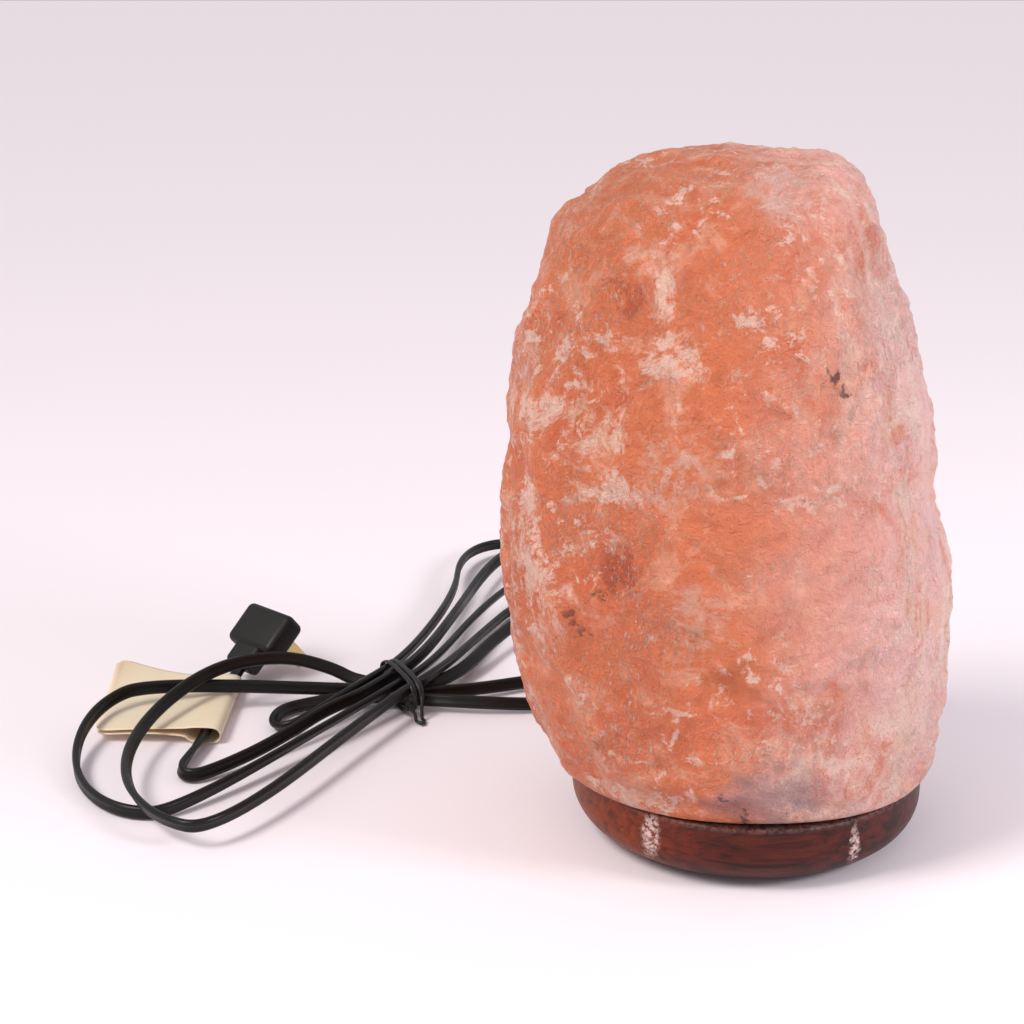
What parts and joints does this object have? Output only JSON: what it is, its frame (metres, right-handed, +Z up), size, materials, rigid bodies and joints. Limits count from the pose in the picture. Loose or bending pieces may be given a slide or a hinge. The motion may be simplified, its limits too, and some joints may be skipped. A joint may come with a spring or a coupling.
{
  "type": "salt crystal lamp",
  "caption": "Hewn salt crystal lamp on a turned wooden base, with a bulb holder in its bore and a tied flat cord with plug.",
  "frame": {"origin": "centre of the wooden base on the table", "axes": "+Z up, +Y towards the back where the cord leaves the base, -X towards the tied cord"},
  "size_m": [0.3261, 0.3573, 0.2425],
  "materials": {
    "salt": "rough translucent rock salt",
    "wood": "satin stain",
    "screw_steel": "satin",
    "foot_rubber": "matt",
    "clip_steel": "satin",
    "holder_plastic": "matt",
    "brass": "satin",
    "bulb_metal": "bright",
    "bulb_insulator": "glossy",
    "bulb_glass": "clear",
    "filament": "dull",
    "cord": "satin",
    "tie": "matt",
    "tag": "matt",
    "plug_plastic": "matt"
  },
  "bodies": {
    "cord_set": {"spring_clip": "clip_steel", "holder_rivets": "clip_steel", "lampholder_housing": "holder_plastic", "lampholder_terminals": "brass", "lampholder_screw_shell": "brass", "lampholder_center_contact": "brass", "holder_lead": "cord", "cord_lead": "cord", "cord_hank": "cord", "cord_tail": "cord", "twist_tie": "tie", "cord_tag": "tag", "plug_body": "plug_plastic", "plug_blade_narrow": "brass", "plug_blade_wide": "brass"},
    "lamp_body": {"salt_crystal": "salt", "wood_base": "wood", "base_screws": "screw_steel", "base_feet": "foot_rubber"},
    "bulb_carrier": {"bulb_tip_contact": "bulb_metal"},
    "bulb": {"bulb_cap": "bulb_metal", "bulb_cap_insulator": "bulb_insulator", "bulb_glass": "bulb_glass", "bulb_stem": "bulb_glass", "bulb_lead_wires": "bulb_metal", "bulb_filament": "filament"}
  },
  "joints": [
    {"name": "base_lift", "type": "slide", "parent": "cord_set", "child": "lamp_body", "axis": [0, 0, 1], "range_m": [0, 0.12]},
    {"name": "bulb_advance", "type": "slide", "parent": "cord_set", "child": "bulb_carrier", "axis": [0, 0, 1], "range_m": [0, 0.01144]},
    {"name": "bulb_turn", "type": "hinge", "parent": "bulb_carrier", "child": "bulb", "pos_m": [0, 0, 0.05], "axis": [0, 0, 1], "range_deg": [0, 1620]}
  ],
  "couplings": [
    {"joint": "bulb_advance", "follows": "bulb_turn", "m_per_rad": 0.00040425}
  ]
}
